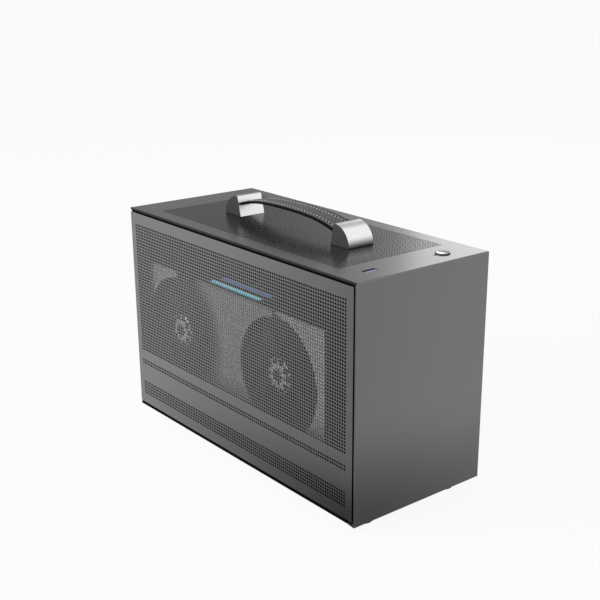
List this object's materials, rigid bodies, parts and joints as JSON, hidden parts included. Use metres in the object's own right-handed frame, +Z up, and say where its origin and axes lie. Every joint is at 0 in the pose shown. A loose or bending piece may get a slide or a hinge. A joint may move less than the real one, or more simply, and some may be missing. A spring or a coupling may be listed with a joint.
{
  "type": "mini pc case",
  "caption": "Upright computer case of folded sheet with mesh sides and top, strap handle, power button, front socket and a fan-cooled graphics card behind the mesh.",
  "frame": {"origin": "on the floor under the middle of the case", "axes": "+X from the rear to the plain front, +Y to the right side panel, +Z up"},
  "size_m": [0.337, 0.147, 0.2382],
  "materials": {
    "case_grey": "satin gunmetal paint on sheet metal",
    "frame_black": "satin black powder coat",
    "foot_rubber": "matt black rubber",
    "handle_metal": "brushed across, bright",
    "strap_leather": "dark grey fine grain with pale stitches",
    "zinc_steel": "plain zinc plate",
    "standoff_brass": "turned brass",
    "button_metal": "polished, dished",
    "light_lens": "clear milky lens",
    "socket_blue": "blue moulded plastic",
    "circuit_black": "black solder mask",
    "black_plastic": "moulded black",
    "fan_plastic": "moulded black",
    "card_silver": "satin silver",
    "fin_aluminium": "plain fins",
    "cap_chrome": "polished facets",
    "bright_bar": "lit cyan lens",
    "dim_bar": "dim blue lens"
  },
  "bodies": {
    "case": {"top_front_cover": "case_grey", "base_plate": "frame_black", "rear_panel": "frame_black", "left_top_rail": "frame_black", "right_top_rail": "frame_black", "board_tray": "frame_black", "supply_bracket": "frame_black", "riser_bracket": "frame_black", "front_left_foot": "foot_rubber", "front_right_foot": "foot_rubber", "rear_left_foot": "foot_rubber", "rear_right_foot": "foot_rubber", "front_handle_block": "handle_metal", "rear_handle_block": "handle_metal", "handle_strap": "strap_leather", "handle_screws": "zinc_steel", "usb_shell": "zinc_steel", "card_bracket": "zinc_steel", "card_ports": "zinc_steel", "inlet_pins": "zinc_steel", "rear_fan_mount": "zinc_steel", "front_fan_mount": "zinc_steel", "board_standoffs": "standoff_brass", "power_light": "light_lens", "usb_tongue": "socket_blue", "front_socket_board": "circuit_black", "card_board": "circuit_black", "left_panel_clips": "black_plastic", "right_panel_clips": "black_plastic", "button_switch": "black_plastic", "board_posts": "black_plastic", "mains_inlet": "black_plastic", "riser_socket": "black_plastic", "card_shroud": "card_silver", "card_backplate": "card_silver", "card_heatsink": "fin_aluminium", "bright_light_bar": "bright_bar", "dim_light_bar": "dim_bar"},
    "left_panel": {"left_side_panel": "case_grey", "left_panel_studs": "zinc_steel"},
    "right_panel": {"right_side_panel": "case_grey", "right_panel_studs": "zinc_steel"},
    "power_cap": {"power_button": "button_metal"},
    "rear_fan": {"card_rear_fan": "fan_plastic", "rear_fan_cap": "cap_chrome"},
    "front_fan": {"card_front_fan": "fan_plastic", "front_fan_cap": "cap_chrome"}
  },
  "joints": [
    {"name": "left_panel_pull", "type": "slide", "parent": "case", "child": "left_panel", "axis": [0, -1, 0], "range_m": [0, 0.1]},
    {"name": "right_panel_pull", "type": "slide", "parent": "case", "child": "right_panel", "axis": [0, 1, 0], "range_m": [0, 0.1]},
    {"name": "power_press", "type": "slide", "parent": "case", "child": "power_cap", "axis": [0, 0, -1], "range_m": [0, 0.0012], "stiffness_N_per_m": 1500},
    {"name": "rear_fan_spin", "type": "hinge", "parent": "case", "child": "rear_fan", "pos_m": [-0.107, -0.0528, 0.1023], "axis": [0, 1, 0], "continuous": true},
    {"name": "front_fan_spin", "type": "hinge", "parent": "case", "child": "front_fan", "pos_m": [0.0491, -0.0528, 0.1023], "axis": [0, 1, 0], "continuous": true}
  ]
}
